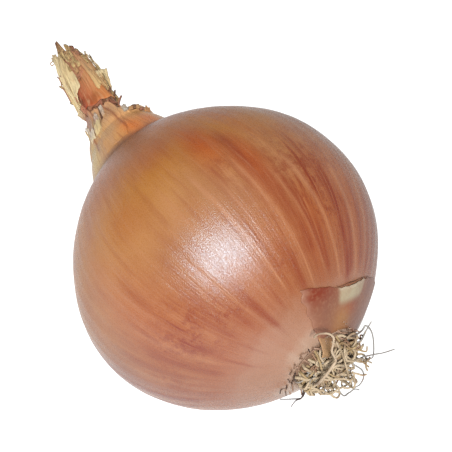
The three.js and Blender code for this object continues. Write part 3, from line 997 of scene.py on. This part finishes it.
def make_stalk_core():
    """The stalk under the strips: a cylinder cut across into rings, then given its sections."""
    deselect()
    bpy.ops.mesh.primitive_cylinder_add(vertices=40, radius=1, depth=1, end_fill_type="TRIFAN")
    piece = bpy.context.object
    edit(piece)
    bpy.ops.mesh.select_all(action="DESELECT")
    finish_edit()
    for edge in piece.data.edges:
        start, end = (piece.data.vertices[i].co.z for i in edge.vertices)
        edge.select = abs(start - end) > 0.5
    edit(piece)
    bpy.ops.mesh.subdivide(number_cuts=24)
    finish_edit()
    foot = STALK_SECTIONS[0][1]
    top = STALK_SECTIONS[-1][1]

    def move(x, y, z):
        share = z + 0.5
        radius = math.hypot(x, y)
        angle = math.degrees(math.atan2(y, x))
        height = mix(foot, top, share) + (1.5 * ragged(angle, 4, 3.3) if share > 0.98 else 0)
        outer = stalk_point(angle, height, 0.12 * ragged(angle, 14, 0.1 * height))
        centre = about_axis(0, 0, height)
        return centre + (outer - centre) * min(1, radius)

    place_vertices(piece, move)
    face_outwards(piece)
    add_tint(piece, [PINK_BROWN] * len(piece.data.vertices))
    select_only(piece)
    bpy.ops.object.shade_smooth()
    return piece


def corner_tints(corners, edge_shade=0):
    """Tints blended between a strip's corners, with painted shade darkening their side edges."""

    def tint_at(across, along):
        foot = blend_paints(corners[0], corners[1], across)
        tip = blend_paints(corners[2], corners[3], across)
        edge = edge_shade * smooth(abs(across - 0.5), 0.42, 0.5)
        return blend_paints(blend_paints(foot, tip, along), BROWN, edge)

    return tint_at


def end_tints(foot_tint, tip_tint):
    return corner_tints((foot_tint, foot_tint, tip_tint, tip_tint))


def one_tint(tint):
    return corner_tints((tint,) * 4)


def neck_sheet(number, sheet):
    """A broad dry sheet wrapped part of the way round the stalk, torn at its foot and its tip."""
    foot_edges, tip_edges, (foot, tip), slant, lifts, flare, peel, torn, corners = sheet

    def place(across, along):
        torn_foot = 0.5 * torn * uneven(across * 7, number, 1.5)
        torn_foot += 0.3 * torn * uneven(across * 19, number, 4.5)
        torn_tip = torn * (0.5 + 0.9 * uneven(across * 6, number, 8.5))
        torn_tip += 0.5 * torn * uneven(across * 17, number, 6.5)
        height = mix(foot + slant * across + torn_foot, tip - torn_tip, along)
        start = mix(foot_edges[0], tip_edges[0], along) + 3 * uneven(along * 7, number, 2)
        end = mix(foot_edges[1], tip_edges[1], along) + 3 * uneven(along * 7, number, 5)
        lift = mix(*lifts, across) + flare * (1 - smooth(along, 0, 0.25))
        lift += peel * across * across * along
        lift += 0.32 * uneven(across * 5, along * 5, number * 3.1)
        lift += 0.34 * uneven(across * 14, along * 2, number * 5.7)
        return stalk_point(mix(start, end, across), height, lift)

    # Painted shade darkens each sheet's side edges, for the dark gaps between the sheets
    return paper_strip(f"sheet_{number}", place, 28, 24, SHEET_THICKNESS, corner_tints(corners, 0.25))


def barb(number, point):
    """A narrow torn point that stands away from the stalk."""
    angle, (foot, tip), widths, out, turn, tints = point

    def place(across, along):
        half = mix(*widths, along) / 2
        rough = 0.4 * uneven(across * 3, along * 4, number * 2.3)
        turned = angle + turn * along + mix(-half, half, across)
        return stalk_point(turned, mix(foot, tip, along) + rough, 0.2 + out * along * along + rough)

    return paper_strip(f"barb_{number}", place, 5, 8, SHEET_THICKNESS, end_tints(*tints))


def fibre_strips(seed, count):
    """Narrow fibres that lie along the dry stalk, each of its own width, lift and tint."""
    draw = random.Random(seed)
    pieces = []
    for number in range(count):
        angle = draw.uniform(-180, 180)
        over_red_sheet = -60 < angle < 46
        foot = draw.uniform(68, 76) if over_red_sheet else draw.uniform(61, 76)
        tip = min(draw.uniform(77, 81.8), foot + draw.uniform(6, 14))
        half = draw.uniform(2.5, 8)
        lift = draw.uniform(0.7, 1.3)
        twist = draw.uniform(-6, 8)
        tint = draw.choice((STRAW, STRAW, STRAW, CREAM, CREAM, TAN, OLIVE, ROSE))
        wave_seed = draw.uniform(0, 90)

        def place(across, along):
            wave = uneven(along * 3, wave_seed, 0)
            width = half * (1 - 0.45 * along * along)
            turned = angle + twist * along + 5 * wave + mix(-width, width, across)
            raised = lift + 0.5 * uneven(along * 4, wave_seed, 5) + 0.5 * along ** 4
            return stalk_point(turned, mix(foot, tip, along), raised)

        tints = corner_tints((tint, tint, blend_paints(tint, BROWN, 0.3), tint))
        pieces.append(paper_strip(f"fibre_{number}", place, 3, 12, FIBRE_THICKNESS, tints, smoothing=0))
    return pieces


def make_neck(material):
    """The dry neck: sheets, torn points and fibres round a stalk, in one piece."""
    pieces = [neck_sheet(number, sheet) for number, sheet in enumerate(SHEETS)]
    pieces += [barb(number, point) for number, point in enumerate(BARBS)]
    pieces += fibre_strips(12, 36)
    pieces.append(make_stalk_core())
    neck = join("neck_strips", pieces)
    dress(neck, material, "dry_neck")


def make_tongue(material):
    """The broad torn tongue of outer skin that lies over the front of the collar."""
    foot, tip = TONGUE_HEIGHTS

    def place(across, along):
        rough = 0.7 * uneven(across * 6, 3.1, 0) + 0.4 * uneven(across * 17, 8.1, 0)
        height = mix(foot, tip + rough, along)
        level = mix(foot, tip, along)
        left = read_off(TONGUE_LEFT, level) + 1.5 * uneven(along * 9, 1.7, 0)
        right = read_off(TONGUE_RIGHT, level) + 1.5 * uneven(along * 9, 6.7, 0)
        lift = 0.3 * smooth(along, 0, 0.3) + 0.35 * smooth(along, 0.5, 1) + 0.3 * across * along
        lift += 0.25 * uneven(across * 4, along * 3, 5.5)
        return skin_point(mix(left, right, across), height, lift)

    piece = paper_strip("collar_tongue", place, 24, 30, FLAP_THICKNESS, one_tint(TAN))
    paint_skin(piece)
    dress(piece, material, "bulb")


def tatter(number, flap):
    """A torn flap that rises from the skin and leans outwards."""
    edges, foot, tip, lift, reach, turn, torn, tints = flap

    def place(across, along):
        rough = torn * uneven(across * 5, number, 7.5)
        rough += 0.5 * torn * uneven(across * 14, number, 3.5)
        out = mix(-0.5, lift, smooth(along, 0, 0.5)) + reach * along * along
        out += 0.3 * along * uneven(across * 4, along * 4, number)
        return skin_point(mix(*edges, across) + turn * along, mix(foot, tip + rough, along), out)

    return paper_strip(f"tatter_{number}", place, 12, 8, FLAP_THICKNESS, end_tints(*tints))


def curl(number, scrap):
    """A rolled scrap of skin, on the collar or, higher up, on the stalk."""
    angle, height, lift, radius, width, turns, tint = scrap

    def place(across, along):
        roll = math.radians(360 * turns * along)
        outwards = lift + radius * (1 - math.cos(roll))
        upwards = height + radius * math.sin(roll)
        sideways = angle + math.degrees(mix(-width, width, across) / 2 / CURL_FROM_AXIS)
        if height > COLLAR_MODEL_RIM:
            return stalk_point(sideways, upwards, outwards)
        return about_axis(collar_radius(angle, height) + outwards, sideways, upwards)

    return paper_strip(f"curl_{number}", place, 4, 14, CURL_THICKNESS, one_tint(tint))


def make_tatters(material):
    """The torn flaps and rolled scraps of the collar, and a roll at the stalk's tip, in one piece."""
    pieces = [tatter(number, flap) for number, flap in enumerate(TATTERS)]
    pieces += [curl(number, scrap) for number, scrap in enumerate(CURLS)]
    tatters = join("collar_tatters", pieces)
    dress(tatters, material, "bulb")


# The root end
def make_root_plate(material):
    """The corky disc that the roots grow from: a flattened, roughened sphere."""
    deselect()
    bpy.ops.mesh.primitive_uv_sphere_add(segments=40, ring_count=16, radius=1)
    piece = bpy.context.object

    def move(x, y, z):
        radius = PLATE_RADIUS * math.hypot(x, y)
        angle = math.degrees(math.atan2(y, x))
        rough = 0.35 * noise.noise(Vector((x, y, z)) * 5)
        height = PLATE_FACE + PLATE_BULGE - PLATE_BULGE * z + rough * math.hypot(x, y)
        return about_axis(radius, angle, height)

    place_vertices(piece, move)
    face_outwards(piece)
    subdivide_smooth(piece, 1)
    bpy.ops.object.shade_smooth()
    add_tint(piece, [paint(176, 136, 108)] * len(piece.data.vertices))
    piece.name = "root_plate"
    dress(piece, material, "root_tuft")


def root_route(points, steps):
    """A smooth route through points of the growth frame, as (place, share of the radius)."""
    route = smooth_curve([Vector(point) for point in points], steps)
    last = len(route) - 1
    return [(grown(*place), mix(1, ROOT_TIP_SHARE, i / last)) for i, place in enumerate(route)]


# Long roots that the photograph shows, as points (across, beside, height) of the growth frame
FRONT_CURL = [
    (-2, -4, -38.4), (2.1, -6.4, -43), (7.6, -6.1, -45), (12.1, -3.9, -45.5), (12.6, -2.7, -45),
    (15.9, -3.3, -44), (17.1, -2.7, -43.5), (18.2, -1.7, -42.5), (19.6, -2.5, -41.5),
    (20.3, -4.6, -40.5), (17.9, -4.9, -39.5),
]
PALE_ROOTS = [
    [(2, -1, -38.4), (6.4, -4.4, -43.4), (9.1, -2, -45), (5.5, 1.5, -45), (0.9, 7.1, -44),
     (-7.9, 12.5, -43.5)],
    [(-1, 4, -38.4), (0.4, 7, -40.4), (1.7, 8.3, -41), (3.9, 9.4, -41.5), (7, 10.4, -41.5)],
    [(-3, 0, -38.4), (-3, 1, -43), (-1, 1, -46.4), (1, 0.6, -48.9), (3, 1.6, -48.4)],
]
GREY_ROOTS = [
    [(3, 5, -38.4), (4, 8.6, -41.5), (7, 10.4, -41.5), (8.8, 12.5, -41)],
    [(2, 6, -38.4), (9, 8.4, -41.6), (11.4, 9.4, -42), (7.4, 11.3, -42.5), (1.4, 12.4, -43),
     (-6.5, 13.2, -43), (-7.1, 11.8, -42)],
    [(-1, 4, -38.4), (-0.3, 6.3, -43), (-2.2, 9.4, -43), (-4.1, 12.9, -43.5), (-7, 16.2, -43.5),
     (-8.5, 19.9, -44)],
    [(-2, 5, -38.4), (-3.5, 6.9, -43), (-6.6, 8.7, -44), (-10.1, 9.3, -44.5), (-13, 8.4, -44.5),
     (-14, 7, -44)],
    [(-6, 2, -38.4), (-12.1, 2.6, -44), (-14.6, 5.2, -44), (-14.9, 7.2, -44), (-17.7, 9.2, -44)],
]
DARK_ROOTS = [
    [(-8.8, -5.2, -39), (-8.3, -7.3, -40), (-6.4, -10, -39.5), (-3.6, -13.3, -38.8)],
    [(-6.3, -5.8, -39), (-6.9, -7.8, -40.5), (-7.5, -9.2, -40), (-10.4, -10, -39.5)],
    [(-4.1, -4.6, -39), (-6.6, -3.6, -42.5), (-9.3, -1, -43), (-13.5, 1.2, -43)],
]

# The tangle's middle and half sizes, and how its roots are spread, jointed and tapered
TANGLE_MIDDLE = Vector((-0.9, 2.6, -41))
TANGLE_REACH = Vector((9.4, 10.4, 5.6))
GOLDEN_ANGLE = 137.5
ROOT_FOOT = -38
ROOT_JOINTS = 9
ROOT_TIP_SHARE = 0.6


def any_way(draw):
    return Vector((draw.uniform(-1, 1), draw.uniform(-1, 1), draw.uniform(-1, 1)))


def curled_roots(seed, count, lengths, wander):
    """Roots spread over the plate by the golden angle, which curl back inside the tangle."""
    draw = random.Random(seed)
    routes = []
    for i in range(count):
        angle = math.radians(GOLDEN_ANGLE * i + seed)
        radius = PLATE_RADIUS * 0.93 * math.sqrt((i + 0.5) / count)
        place = Vector((radius * math.cos(angle), radius * math.sin(angle), ROOT_FOOT))
        tilt = draw.uniform(-0.4, 0.4) * radius / PLATE_RADIUS
        heading = Vector((math.cos(angle) * tilt, math.sin(angle) * tilt + 0.1, -1)) + any_way(draw) * 0.8
        heading.normalize()
        bend = any_way(draw).normalized()
        points = [place, place + heading * 1.6]
        length = draw.uniform(*lengths)
        for _ in range(ROOT_JOINTS):
            tip = points[-1]
            heading.rotate(Matrix.Rotation(draw.uniform(*wander), 3, bend))
            bend = (bend + any_way(draw) * 0.6).normalized()
            off = tip - TANGLE_MIDDLE
            outside = math.sqrt(sum((part / half) ** 2 for part, half in zip(off, TANGLE_REACH)))
            if outside > 0.9:
                heading -= off.normalized() * 0.7 * outside - any_way(draw) * 0.3
            if tip.z > ROOT_FOOT - 2:
                heading.z = -abs(heading.z) - 0.2
            heading.normalize()
            points.append(tip + heading * length / ROOT_JOINTS)
        routes.append(points)
    return routes


def stubs(seed, count, first, last):
    """Short dead rootlets round the rim of the plate, between two angles."""
    draw = random.Random(seed)
    routes = []
    for _ in range(count):
        turn = math.radians(draw.uniform(first, last))
        radius = draw.uniform(7.6, 11.4)
        foot = Vector((radius * math.cos(turn), radius * math.sin(turn), read_off(RIM_SLOPE, radius)))
        outward = Vector((math.cos(turn), math.sin(turn), -1.2))
        aside = any_way(draw)
        tip = foot + (outward + aside).normalized() * draw.uniform(0.8, 2.6)
        bend = (foot + tip) / 2 + aside * 0.4
        routes.append([foot, bend, tip])
    return routes


def make_roots(material):
    """The roots by kind: the long ones of the photograph, curls, threads and stubs."""

    def root_piece(name, routes, steps, radius, tint, sides=2):
        piece = tube(name, [root_route(route, steps) for route in routes], radius, tint, sides)
        dress(piece, material, "root_tuft")

    pale = paint(228, 202, 164)
    yellow = paint(206, 174, 122)
    brown = paint(178, 134, 98)
    grey = paint(184, 178, 170)
    dark = paint(84, 60, 54)
    root_piece("root_front_curl", [FRONT_CURL], 5, 0.38, paint(232, 204, 170))
    root_piece("root_loose_ends", PALE_ROOTS, 5, 0.38, pale)
    root_piece("root_grey_threads", GREY_ROOTS, 5, 0.25, grey, 1)
    root_piece("root_dark_threads", DARK_ROOTS, 5, 0.2, dark, 1)
    root_piece("root_curls", curled_roots(41, 76, (8, 13), (0.3, 1)), 3, 0.38, pale)
    root_piece("root_yellow_curls", curled_roots(17, 44, (7, 12), (0.3, 1.1)), 3, 0.33, yellow)
    root_piece("root_brown_curls", curled_roots(63, 44, (4, 8), (0.3, 1.3)), 3, 0.3, brown, 1)
    root_piece("root_threads", curled_roots(90, 18, (6, 11), (0.3, 1.3)), 3, 0.16, grey, 1)
    root_piece("root_stubs", stubs(8, 60, 0, 360), 2, 0.26, paint(198, 156, 128), 1)
    root_piece("root_dark_stubs", stubs(29, 10, 180, 340), 2, 0.17, dark, 1)


# The scrap of outer skin by the root end: its upper edge as (height, angle), and the patches of
# its colouring as (angle, height, half widths, tint)
SCRAP_TOP = [
    (-30.3, -8), (-31.1, 0), (-31.9, 8), (-32.8, 19), (-33.2, 25), (-33, 40), (-32.3, 54),
    (-31.8, 62), (-31, 75), (-30.6, 86),
]
SCRAP_TINTS = [
    (3, -32.4, 17, 1.8, paint(152, 58, 28)),
    (36, -35.9, 13, 0.9, paint(172, 72, 44)),
    (29, -37.4, 14, 2.2, paint(204, 144, 86)),
    (64, -33.4, 5, 2.2, paint(148, 84, 64)),
    (80, -34, 14, 6, paint(172, 122, 104)),
]
SCRAP_FOOT = -38
SCRAP_THICKNESS = 0.28
# The painted shadow above the scrap's upper edge, a thin dark line: its first and last angles, and its
# thickness
SHADOW_ENDS = (21, 62)
SHADOW_THICKNESS = 0.16
# Angles of the scrap's first edge, at its foot and top, and of its last edge
SCRAP_FIRST_EDGE = (-8, -6)
SCRAP_LAST_EDGE = 84
# Angles between which the lip is pale, and the middle and half width of its lift
SCRAP_LIP = (20, 53)
LIP_MIDDLE = 38
LIP_HALF_WIDTH = 16
# The tab's foot and tip, each an edge across the growth frame at one height
TAB_FOOT = ((11.9, 7.6), (-1.6, 3), -37.3)
TAB_TIP = ((9.2, 5.2), (-3.5, 0.4), -41.2)


def scrap_angle(across, along):
    """Angle of a point of the scrap, whose first edge slants and wavers."""
    first = mix(*SCRAP_FIRST_EDGE, along) + 3 * uneven(along * 6, 4.2, 0)
    return mix(first, SCRAP_LAST_EDGE, across)


def lip_lift(angle):
    """How much of the lip's full lift the upper edge has at this angle."""
    return math.exp(-(((angle - LIP_MIDDLE) / LIP_HALF_WIDTH) ** 2))


def scrap_place(across, along):
    """A point of the scrap, which lies on the skin and lifts at its lip."""
    angle = scrap_angle(across, along)
    torn = 0.22 * uneven(across * 20, 2.2, 0)
    height = mix(SCRAP_FOOT, read_off(SCRAP_TOP, angle) + torn, along)
    lip = lip_lift(angle) * smooth(along, 0.5, 1)
    slope = bulb_radius(height + 0.5) - bulb_radius(height - 0.5)
    edge = smooth(along, 0, 0.06) * smooth(across, 0, 0.12)
    outward = Vector((1, -slope)).normalized() * (0.06 + 0.18 * edge + 0.6 * lip)
    return about_axis(bulb_radius(height) + outward.x, angle, height + outward.y)


def scrap_tint(across, along):
    """The scrap's colour: its patches, a paler first edge, and the pale lip with a bright rim."""
    angle = scrap_angle(across, along)
    top = read_off(SCRAP_TOP, angle)
    height = mix(SCRAP_FOOT, top, along)
    tint = paint(162, 104, 80)
    for centre, level, half_angle, half_height, other in SCRAP_TINTS:
        share = math.exp(-((angle - centre) / half_angle) ** 2 - ((height - level) / half_height) ** 2)
        tint = blend_paints(tint, other, share)
    tint = blend_paints(paint(188, 130, 104), tint, smooth(across, 0, 0.07))
    first, last = SCRAP_LIP
    on_lip = smooth(angle, first, first + 6) * (1 - smooth(angle, last - 2, last))
    on_lip *= smooth(height, top - 2.5, top - 1.2)
    tint = blend_paints(tint, paint(216, 200, 162), on_lip)
    rim = on_lip * smooth(height, top - 0.5, top - 0.15)
    return blend_paints(tint, paint(232, 214, 184), rim)


def shadow_place(across, along):
    """A thin dark line just above the scrap's upper edge: painted shadow of its lifted lip."""
    angle = mix(*SHADOW_ENDS, across)
    height = read_off(SCRAP_TOP, angle) + mix(-0.06, 0.02, along) + 0.06 * uneven(across * 30, 0, 0)
    lift = 0.3 + 0.35 * lip_lift(angle) * (1 - along)
    return about_axis(bulb_radius(height) + lift, angle, height)


def tab_place(across, along):
    """A small tab that hangs from the scrap over the roots."""
    foot, tip = (
        Vector((mix(*sideways, across), mix(*beside, across), height))
        for sideways, beside, height in (TAB_FOOT, TAB_TIP)
    )
    sag = 0.3 * (across - 0.5) - math.sin(math.pi * along)
    return grown(*(foot.lerp(tip, along) + Vector((0, 0, sag))))


def make_scrap(material):
    """The scrap of older skin, the painted shadow line above its torn edge, and its tab."""
    # Dark paint for the painted shadow line above the scrap
    shadow_line_tint = one_tint(paint(104, 64, 44))
    tab_tint = end_tints(paint(228, 174, 124), paint(228, 184, 134))
    for piece in (
        paper_strip("torn_skin_scrap", scrap_place, 90, 34, SCRAP_THICKNESS, scrap_tint),
        paper_strip("torn_skin_painted_shadow", shadow_place, 60, 3, SHADOW_THICKNESS, shadow_line_tint),
        paper_strip("torn_skin_tab", tab_place, 8, 8, FLAP_THICKNESS, tab_tint),
    ):
        dress(piece, material, "torn_skin")


# Camera, light and floor
CAMERA_AZIMUTH = 52
CAMERA_ELEVATION = 56
CAMERA_DISTANCE = 0.3
FOCAL_PIXELS = 1171
PICTURE_SIDE = 452
BULB_CENTRE_PIXEL = (223.65, 256.7)
SENSOR_WIDTH = 36
# Light of the room from the far side and from the side of the photograph's view, and the cosines
# of the turn from that view between which it changes
ROOM_LIGHT = (0.5, 0.14)
ROOM_TURN = (-0.4, 0.9)
# The key light stands behind the camera, so that its shadow falls behind the onion
KEY_DISTANCE = 1.1
KEY_TOWARDS_ROOTS = 0.07
KEY_SIZE = 0.19
KEY_POWER = 32
OVERHEAD_OFFSET = Vector((-0.2, 0.1, 0.9))
OVERHEAD_SIZE = 0.8
OVERHEAD_POWER = 1
FLOOR_SIZE = 6


def camera_axes():
    """The camera's right, up and forward, aimed so that the bulb's centre falls on its pixel."""
    azimuth = math.radians(CAMERA_AZIMUTH)
    elevation = math.radians(CAMERA_ELEVATION)
    back = Vector((
        math.sin(azimuth) * math.cos(elevation),
        -math.cos(azimuth) * math.cos(elevation),
        math.sin(elevation),
    ))
    right = Vector((math.cos(azimuth), math.sin(azimuth), 0))
    up = back.cross(right)
    middle = PICTURE_SIDE / 2
    aside = (BULB_CENTRE_PIXEL[0] - middle) / FOCAL_PIXELS
    below = (middle - BULB_CENTRE_PIXEL[1]) / FOCAL_PIXELS
    forward = (-back - aside * right - below * up).normalized()
    right = forward.cross(Vector((0, 0, 1))).normalized()
    return back, right, right.cross(forward), forward


def make_camera():
    back, right, up, forward = camera_axes()
    data = bpy.data.cameras.new("camera")
    data.sensor_width = SENSOR_WIDTH
    data.lens = FOCAL_PIXELS * SENSOR_WIDTH / PICTURE_SIDE
    data.clip_start = 0.01
    camera = bpy.data.objects.new("camera", data)
    camera.matrix_world = Matrix((
        (right.x, up.x, -forward.x, 0),
        (right.y, up.y, -forward.y, 0),
        (right.z, up.z, -forward.z, 0),
        (0, 0, 0, 1),
    ))
    camera.location = grown(0, 0, 0) + back * CAMERA_DISTANCE
    bpy.context.scene.collection.objects.link(camera)
    bpy.context.scene.camera = camera


def add_light(name, place, target, size, power):
    data = bpy.data.lights.new(name, "AREA")
    data.shape = "DISK"
    data.size = size
    data.energy = power
    light = bpy.data.objects.new(name, data)
    light.location = place
    light.rotation_euler = (Vector(target) - Vector(place)).to_track_quat("-Z", "Y").to_euler()
    bpy.context.scene.collection.objects.link(light)


def make_room():
    """A white room, dimmer on the side of the photograph's view."""
    world = bpy.data.worlds.new("white_room")
    world.use_nodes = True
    tree = world.node_tree
    way = tree.nodes.new("ShaderNodeTexCoord")
    facing = tree.nodes.new("ShaderNodeVectorMath")
    facing.operation = "DOT_PRODUCT"
    facing.inputs[1].default_value = camera_axes()[0]
    light = tree.nodes.new("ShaderNodeMapRange")
    for socket, value in zip(list(light.inputs)[1:5], (*ROOM_TURN, *ROOM_LIGHT)):
        socket.default_value = value
    tree.links.new(way.outputs["Generated"], facing.inputs[0])
    tree.links.new(facing.outputs["Value"], light.inputs[0])
    background = tree.nodes["Background"]
    background.inputs["Color"].default_value = (1, 1, 1, 1)
    tree.links.new(light.outputs[0], background.inputs["Strength"])
    bpy.context.scene.world = world


def make_studio():
    bpy.context.scene.view_settings.view_transform = "Standard"
    make_room()
    back = camera_axes()[0]
    bulb_centre = grown(0, 0, 0)
    key_place = bulb_centre + back * KEY_DISTANCE + Vector((KEY_TOWARDS_ROOTS, 0, 0))
    add_light("key", key_place, bulb_centre, KEY_SIZE, KEY_POWER)
    add_light("overhead", bulb_centre + OVERHEAD_OFFSET, bulb_centre, OVERHEAD_SIZE, OVERHEAD_POWER)

    deselect()
    bpy.ops.mesh.primitive_grid_add(x_subdivisions=8, y_subdivisions=8, size=FLOOR_SIZE)
    floor = bpy.context.object
    floor.name = "floor"
    floor.data.materials.append(floor_material())


make_camera()
make_studio()
skin = skin_material()
neck_paper = paper_material()
roots_finish = root_material()
make_bulb(skin)
make_neck(neck_paper)
make_tongue(skin)
make_tatters(neck_paper)
make_root_plate(roots_finish)
make_roots(roots_finish)
make_scrap(scrap_material())
